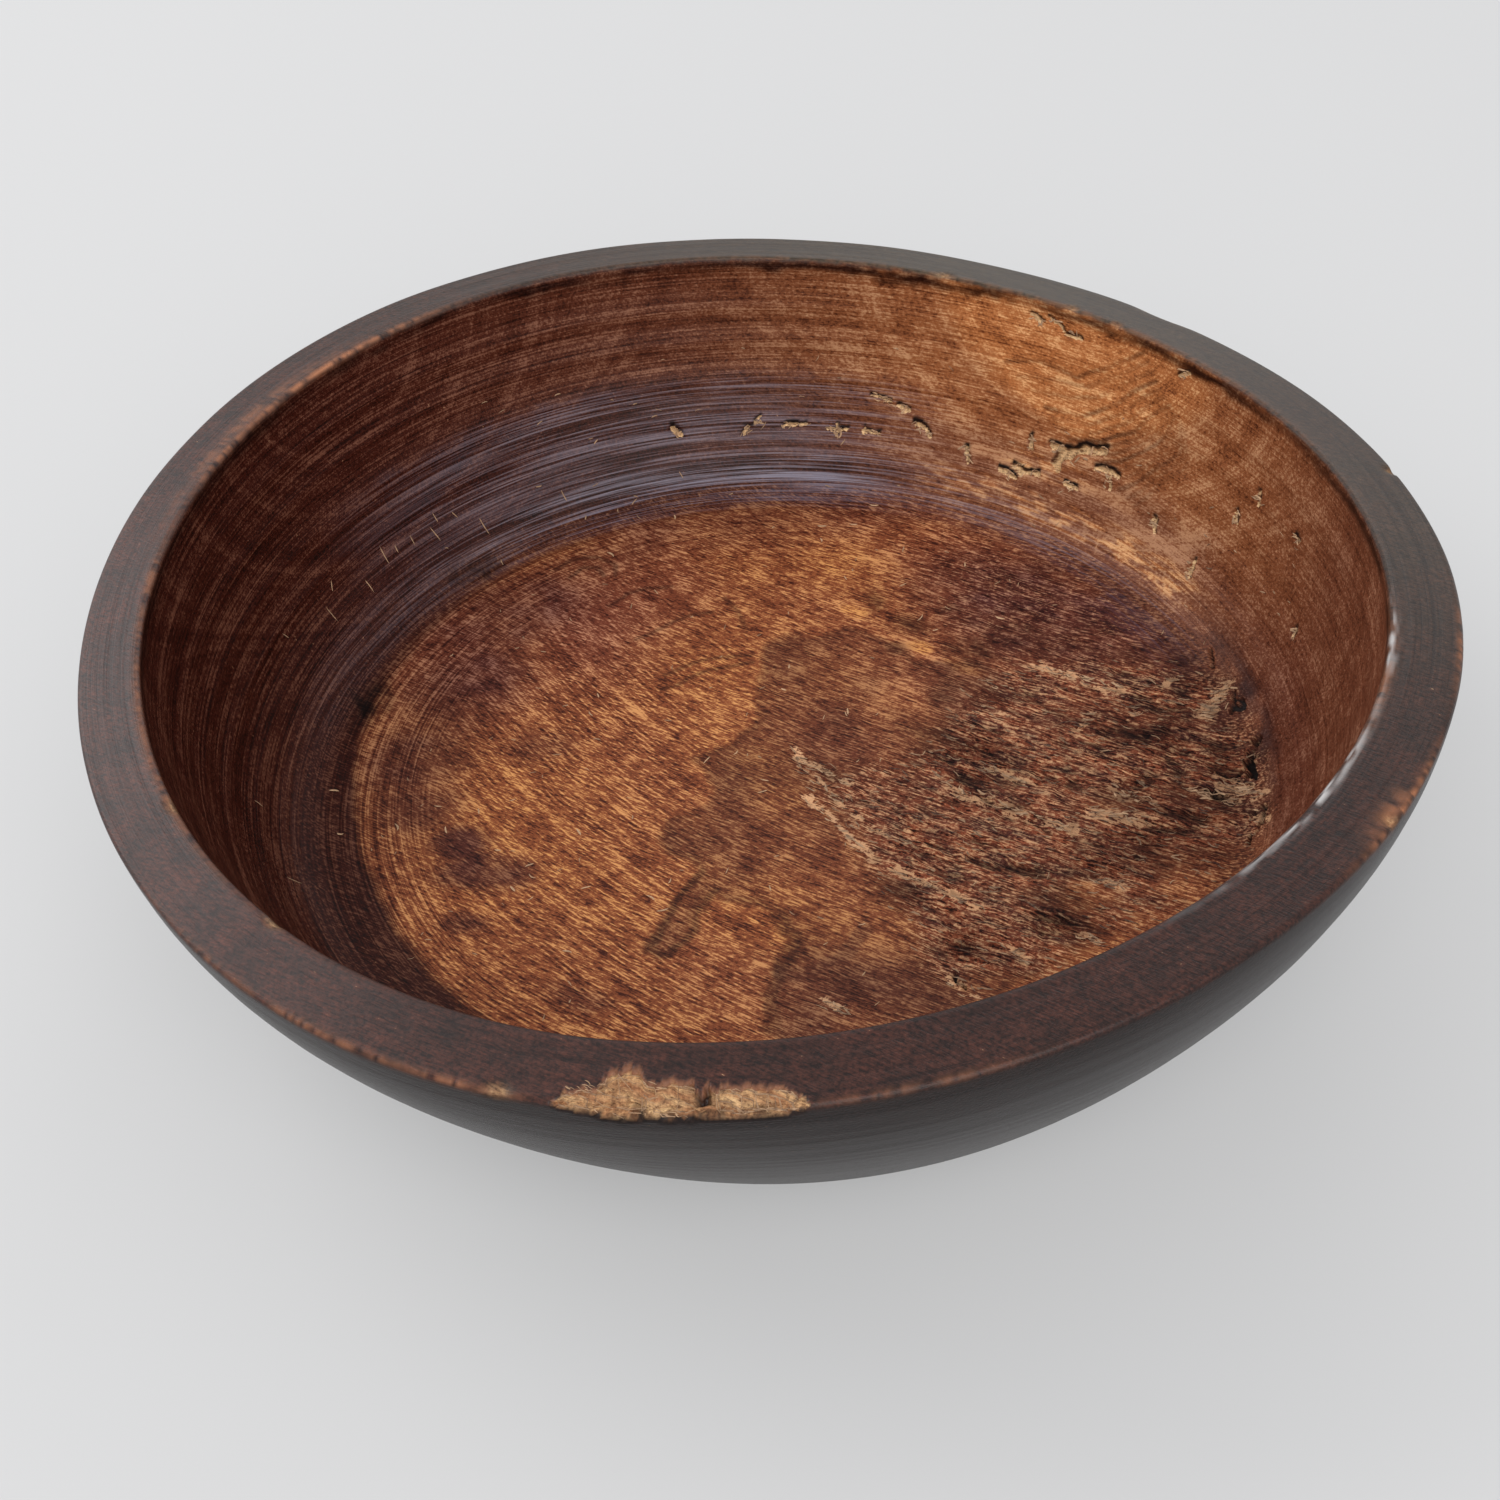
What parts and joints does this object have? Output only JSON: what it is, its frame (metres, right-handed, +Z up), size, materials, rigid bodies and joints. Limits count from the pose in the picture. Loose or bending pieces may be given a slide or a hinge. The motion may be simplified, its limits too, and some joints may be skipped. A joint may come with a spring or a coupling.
{
  "type": "wooden bowl",
  "caption": "Wide kneading bowl turned from one block of wood, with a broad flat rim, steep inner wall, wide level floor and a rounded underside on a flat foot.",
  "frame": {"origin": "centre of the flat foot, on the surface that the bowl stands on", "axes": "+Z up, out of the mouth; -Y is the side with the chipped rim, which is the near side of the picture; the grain runs 130 degrees from +X towards +Y"},
  "size_m": [0.4968, 0.502, 0.1404],
  "materials": {
    "stained_wood": "dark stained, lacquered and worn, with turning marks, torn grain on the floor and bare wood at chips"
  },
  "bodies": {
    "root": {"bowl": "stained_wood"}
  },
  "joints": []
}
